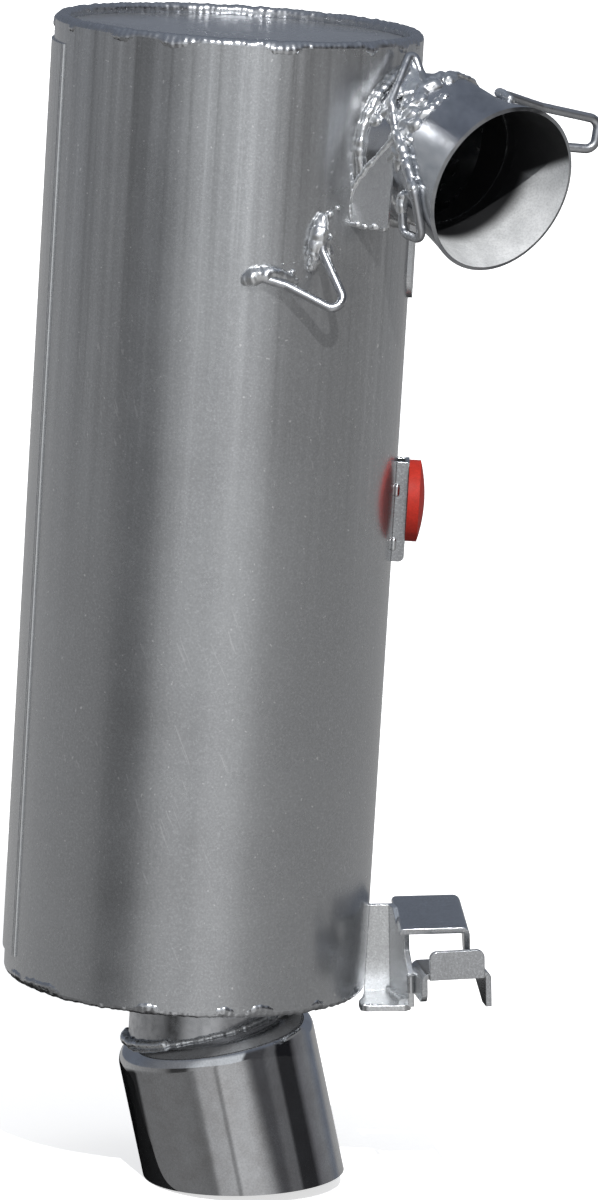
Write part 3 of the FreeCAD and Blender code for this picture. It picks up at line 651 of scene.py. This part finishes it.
def add_neck_welds(materials):
    bead = materials["weld_bead"]
    saddle = [saddle_point(turn, 0.9) for turn in range(0, 361, 6)]
    melt("saddle_bead", drops_along(saddle, 2.0, 1.4, 11), bead, 0.45, 0.3, ("inlet_stub_weld",))
    ring = [mitre_point(turn, 0.3) for turn in range(0, 361, 6)]
    drops = drops_along(ring, 1.3, 1.2, 12)
    chance = random.Random(13)
    for turn in range(0, 92, 3):
        size = 2.3 + 0.8 * math.sin(math.radians(turn * 2.0))
        drops.append((mitre_point(turn, -0.6) + NECK_DIR * chance.uniform(-2.2, 3.0), size))
    puddles = (
        (58, -7.0, 3.0), (61, -4.0, 3.4), (56, 3.5, 3.6), (62, 6.0, 3.2), (50, 7.0, 3.0), (66, -9.5, 2.6),
        (70, 3.0, 3.2), (44, 8.0, 2.6), (36, 8.5, 2.4), (28, 9.0, 2.3), (74, 7.0, 2.6), (52, -9.0, 2.6),
        (80, 3.0, 3.0), (86, 4.0, 2.8), (92, 4.0, 2.6), (98, 4.0, 2.3),
    )
    for turn, along, size in puddles:
        drops.append((mitre_point(turn, -1.2) + (NECK_DIR if along > 0 else STUB_DIR) * along, size))
    melt("mitre_bead", drops, bead, 0.4, 0.6, ("inlet_mitre_weld",), 2.0, 12)
    edge = (
        (71.6, 307.0), (67.0, 301.6), (63.1, 296.5), (59.6, 292.0), (57.4, 288.0), (56.4, 283.0),
        (57.2, 277.6),
    )
    path = [STUB_DIR * reach + STUB_SIDE * (TUBE_R + 1.4) + Vector((0, 0, z)) for reach, z in edge]
    melt("gusset_bead", drops_along(path, 1.15, 0.8, 14), bead, 0.3, 0.2, ("inlet_gusset_weld",))
    foot_side = STUB_SIDE * (TUBE_R + 0.7)
    foot = [STUB_DIR * reach + foot_side + Vector((0, 0, 275.6)) for reach in (57.5, 62, 66, 70.5)]
    melt("gusset_foot_bead", drops_along(foot, 1.5, 1.6, 15, 0.3, 0.5), bead, 0.35, 0.4)


def shell_drops(rows):
    """Drops on the body's front, from rows of x, z, how far each stands out, and its radius."""
    return [(on_shell(x, z, out), radius) for x, z, out, radius in rows]


def add_front_hook_welds(bead):
    high = shell_drops((
        (31.8, 278.0, 0.8, 2.2), (31.4, 276.0, 1.4, 2.8), (31.0, 274.0, 1.8, 3.1), (30.7, 272.0, 1.8, 3.3),
        (30.4, 270.0, 1.7, 3.3), (30.2, 268.0, 1.5, 3.2), (29.9, 266.0, 1.2, 3.1), (29.7, 264.0, 0.8, 2.8),
        (29.4, 262.0, 0.3, 2.3), (33.0, 268.5, 2.2, 2.3), (33.4, 266.0, 2.6, 2.1), (33.0, 271.0, 1.8, 2.4),
    ))
    low = shell_drops((
        (8.4, 256.9, 0.5, 2.6), (10.0, 257.9, 1.2, 3.2), (12.0, 258.6, 1.4, 3.3), (14.0, 258.9, 1.3, 3.1),
        (16.0, 259.0, 1.1, 2.9), (18.0, 258.9, 1.0, 2.7), (20.0, 258.4, 1.0, 2.4), (22.0, 257.6, 0.9, 2.1),
        (23.4, 259.6, -0.3, 1.5), (24.2, 256.6, 0.2, 1.5),
    ))
    melt("front_hook_puddles", high + low, bead, 0.4, 0.55, ("spring_hook_front_welds",), 21, 7)
    spatter = shell_drops((
        (34.6, 279.4, 0.1, 1.45), (37.2, 281.4, 0.0, 1.0), (27.0, 268.0, 0.0, 0.5), (24.8, 255.0, 0.0, 0.6),
        (26.4, 252.6, 0.0, 0.45), (20.0, 262.4, 0.0, 0.5), (23.6, 262.8, 0.0, 0.4), (28.4, 258.0, 0.0, 0.45),
    ))
    melt("front_hook_spatter", spatter, bead, 0.22, 0.08)


def add_rear_hook_welds(bead):
    drops = [(neck_point(reach, 22, 1.9), 1.9) for reach in (12.5, 14, 15.5, 17, 18.5)]
    drops += [(neck_point(reach, 74, 1.9), 1.9) for reach in (13, 14.5, 16, 17.5)]
    melt("rear_hook_puddles", drops, bead, 0.4, 0.4, ("spring_hook_rear_welds",), 31)


def add_top_hook_web(bead):
    """Weld metal along the top hook's rod and across the gap between its legs."""
    rod = [Vector(point) for point in (
        (55.2, -51.4, 308.2), (53.1, -45.8, 318.2), (58.7, -33.6, 331.4), (62.3, -36.4, 325.6),
        (65.4, -43.6, 322.6),
    )]
    drops = drops_along(rod, 1.75, 0.9, 41, 0.1, 0.1)
    for step in range(1, 11):
        share = step / 10
        left, right = rod[1].lerp(rod[2], share), rod[4].lerp(rod[3], share)
        drops += [(left.lerp(right, across / 6), 1.15) for across in range(7)]
    melt("top_hook_web", drops, bead, 0.4, 0.35, ("spring_hook_top_welds",), 43, 7)


def add_lower_hook_welds(bead):
    leg = [Vector(point) for point in (
        (55.7, -53.1, 307.9), (57.7, -57.4, 303.2), (60.6, -63.0, 295.6), (62.5, -67.0, 290.5),
    )]
    drops = drops_along(leg, 2.1, 0.9, 45, 0.12, 0.15)
    foot = Vector((58.9, -55.5, 284.2))
    drops += [(foot + Vector((0, 0, lift)), 2.3) for lift in (-1.5, 0.0, 1.5, 3.0)]
    melt("lower_hook_puddles", drops, bead, 0.4, 0.4, ("spring_hook_lower_welds",), 47, 6)


def add_hook_welds(materials):
    bead = materials["weld_bead"]
    add_front_hook_welds(bead)
    add_rear_hook_welds(bead)
    add_top_hook_web(bead)
    add_lower_hook_welds(bead)


def add_outlet_welds(materials):
    ring = [outlet_ring(turn, TUBE_R + 0.6, 0.5) for turn in range(0, 361, 6)]
    drops = drops_along(ring, 1.15, 1.3, 31)
    for turn in range(-104, -24, 4):
        drops.append((outlet_ring(turn, TUBE_R + 1.2, 0.9), 1.75))
    melt("tip_bead", drops, materials["weld_bead"], 0.4, 0.4, ("outlet_tip_weld",))


def add_hanger_drops(materials):
    """Drops of weld along the foot's front edge."""
    low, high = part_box("hanger_foot")
    chance = random.Random(61)
    drops = []
    for step in range(15):
        x = low.x + 0.002 + (high.x - low.x - 0.004) * step / 14
        point = (Vector((x, low.y + 0.0016, low.z + 0.0018)) - BODY_FOOT) / MM
        drops.append((point, chance.uniform(0.8, 1.3)))
    melt("hanger_foot_drops", drops, materials["weld_bead"], 0.3, 0.2)


# ---- surroundings ----

def sky_turn(tree, x, y):
    turn = maths(tree, "ARCTAN2", x, maths(tree, "MULTIPLY", y, -1.0))
    return maths(tree, "ADD", maths(tree, "DIVIDE", turn, 2 * math.pi), 0.5)


def bands(tree, turn, stops):
    """Ramp over the compass: stops are (degrees from the front, positive to the right, value)."""
    return ramp(tree, turn, [((degrees + 180) / 360, value) for degrees, value in stops])


def mirrored_belts(tree, x, y, z):
    """The light and dark bands that the metal mirrors: three belts, one above the other, and a sky."""
    turn = sky_turn(tree, x, y)
    below = bands(tree, turn, [
        (-180, 0.02), (-118, 0.02), (-112, 0.19), (-60, 0.20), (-36, 0.18), (-26, 0.15), (-21, 0.48),
        (-6, 0.54), (2, 0.42), (9, 0.66), (32, 0.62), (44, 0.30), (90, 0.24), (180, 0.05),
    ])
    level = bands(tree, turn, [
        (-180, 0.46), (-140, 0.44), (-104, 0.33), (-80, 0.27), (-64, 0.22), (-54, 0.05), (-36, 0.05),
        (-29, 0.28), (-20, 0.42), (-8, 0.48), (-3, 0.48), (-1, 0.28), (1, 0.28), (4, 0.60), (24, 0.56),
        (36, 0.38), (44, 0.34), (64, 0.29), (100, 0.31), (150, 0.36), (180, 0.42),
    ])
    slate = (0.165, 0.185, 0.225)
    pale = (0.78, 0.81, 0.84)
    above = bands(tree, turn, [
        (-180, slate), (-110, slate), (-80, (0.20, 0.21, 0.23)), (-40, (0.30, 0.31, 0.33)), (-18, pale),
        (28, pale), (32, (0.07, 0.07, 0.075)), (54, (0.07, 0.07, 0.075)), (60, (0.13, 0.13, 0.135)),
        (70, (0.13, 0.13, 0.135)), (74, (0.01, 0.01, 0.012)), (94, (0.01, 0.01, 0.012)),
        (104, (0.16, 0.16, 0.17)), (120, (0.22, 0.225, 0.235)), (135, slate), (180, slate),
    ])
    sky = ramp(tree, z, [(0.34, slate), (0.62, (0.17, 0.19, 0.235)), (0.95, (0.26, 0.29, 0.34))])
    belt = mix_colour(tree, between(tree, z, -0.40, -0.28), below, level)
    belt = mix_colour(tree, between(tree, z, -0.11, -0.05), belt, above)
    return mix_colour(tree, between(tree, z, 0.32, 0.62), belt, sky)


def background(tree, colour):
    made = node(tree, "ShaderNodeBackground")
    feed(tree, made.inputs["Color"], colour)
    return made.outputs[0]


WHITE_SURROUND = (0.98, 0.98, 0.98)
DIM_SURROUND = (0.24, 0.25, 0.27)


def add_world():
    """Surroundings that the camera sees as white, matte surfaces as dim, and glossy ones as bands."""
    world = bpy.data.worlds.new("studio")
    bpy.context.scene.world = world
    tree = new_tree(world)
    direction = node(tree, "ShaderNodeTexCoord").outputs["Generated"]
    parts = node(tree, "ShaderNodeSeparateXYZ")
    tree.links.new(direction, parts.inputs["Vector"])
    mirrored = background(tree, mirrored_belts(tree, *parts.outputs))
    path = node(tree, "ShaderNodeLightPath")
    scattered = choose(tree, path.outputs["Is Diffuse Ray"], mirrored, background(tree, DIM_SURROUND))
    seen = choose(tree, path.outputs["Is Camera Ray"], scattered, background(tree, WHITE_SURROUND))
    output = node(tree, "ShaderNodeOutputWorld")
    tree.links.new(seen, output.inputs["Surface"])


def place_lamp(data, azimuth, elevation, distance):
    """Aim a lamp at the body's middle, from azimuth 0 at the front, positive to the right.

    Only the sun shows in reflections.
    """
    lamp = bpy.data.objects.new(data.name, data)
    bpy.context.scene.collection.objects.link(lamp)
    a, e = math.radians(azimuth), math.radians(elevation)
    back = Vector((math.sin(a) * math.cos(e), -math.cos(a) * math.cos(e), math.sin(e)))
    lamp.location = at(0, 0, BODY_LENGTH / 2) + back * distance
    lamp.rotation_mode = "QUATERNION"
    lamp.rotation_quaternion = back.to_track_quat("Z", "Y")
    lamp.visible_glossy = data.type == "SUN"
    return lamp


def add_area_light(name, azimuth, elevation, distance, width, height, power):
    data = bpy.data.lights.new(name, "AREA")
    data.shape = "RECTANGLE"
    data.size = width
    data.size_y = height
    data.energy = power
    place_lamp(data, azimuth, elevation, distance)


def add_sun(azimuth, elevation, strength, angle):
    data = bpy.data.lights.new("sun", "SUN")
    data.energy = strength
    data.angle = math.radians(angle)
    place_lamp(data, azimuth, elevation, 2.0)


def add_floor():
    """A pale floor that rises into a wall behind the object. The wall hides views from far behind."""
    floor_z = CAD_BOX[0].z
    front_edge, bend_start, wall_top, half_width = -6.0, 2.0, 8.0, 8.0
    bend_r, bend_steps = 1.2, 24
    profile = [(front_edge, 0.0), (bend_start, 0.0)]
    for step in range(1, bend_steps + 1):
        angle = math.pi / 2 * step / bend_steps
        profile.append((bend_start + bend_r * math.sin(angle), bend_r * (1 - math.cos(angle))))
    profile.append((bend_start + bend_r, wall_top))
    vertices = []
    for y, z in profile:
        vertices.append((-half_width, y, floor_z + z))
        vertices.append((half_width, y, floor_z + z))
    faces = []
    for row in range(len(profile) - 1):
        faces.append((2 * row, 2 * row + 1, 2 * row + 3, 2 * row + 2))
    mesh = bpy.data.meshes.new("studio_floor")
    mesh.from_pydata(vertices, [], faces)
    mesh.polygons.foreach_set("use_smooth", [True] * len(faces))
    floor = bpy.data.objects.new("studio_floor", mesh)
    bpy.context.scene.collection.objects.link(floor)
    material = bpy.data.materials.new("studio_paper")
    tree = new_tree(material)
    place = object_place(tree)
    soft = noise_texture(tree, place, 3.0)
    colour = ramp(tree, soft, [(0.3, 0.91), (0.7, 0.93)])
    fine = noise_texture(tree, place, 400.0)
    rough = ramp(tree, soft, [(0.3, 0.85), (0.7, 0.9)])
    glow = {"Emission_Color": (1, 1, 1, 1), "Emission_Strength": 0.68}
    principled(tree, colour, rough, bump(tree, fine, 0.05, 0.0002), **glow)
    mesh.materials.append(material)
    floor.visible_glossy = False
    floor.visible_diffuse = False


def add_dark_card():
    """The object's shade on the ground beside the tip, seen only as a reflection in the polished tube."""
    floor_z = CAD_BOX[0].z
    outline = ((14, -34), (-34, -9), (-78, 27), (-96, 120), (-50, 300), (70, 300), (60, 0))
    corners = []
    for x, y in outline:
        point = at(x, y, 0)
        corners.append((point.x, point.y, floor_z + 0.0004))
    mesh = bpy.data.meshes.new("ground_shade")
    mesh.from_pydata(corners, [], [tuple(range(len(corners)))])
    card = bpy.data.objects.new("ground_shade", mesh)
    bpy.context.scene.collection.objects.link(card)
    material = bpy.data.materials.new("ground_shade")
    tree = new_tree(material)
    place = object_place(tree)
    fine = noise_texture(tree, place, 300.0)
    colour = ramp(tree, fine, [(0.3, 0.006), (0.7, 0.012)])
    rough = ramp(tree, fine, [(0.3, 0.8), (0.7, 0.9)])
    principled(tree, colour, rough, bump(tree, fine, 0.05, 0.0002), Specular_IOR_Level=0.0)
    mesh.materials.append(material)
    card.visible_camera = False
    card.visible_diffuse = False
    card.visible_shadow = False


def main():
    bpy.context.scene.view_settings.view_transform = "Standard"
    add_camera()
    add_world()
    add_floor()
    add_dark_card()
    add_sun(azimuth=7, elevation=42, strength=2.3, angle=0.7)
    add_area_light("floor_wash", azimuth=0, elevation=80, distance=2.6, width=3.0, height=3.0, power=22)
    materials = make_materials()
    paint_frame(materials)
    add_rim_welds(materials)
    add_neck_welds(materials)
    add_hook_welds(materials)
    add_outlet_welds(materials)
    add_hanger_drops(materials)


main()
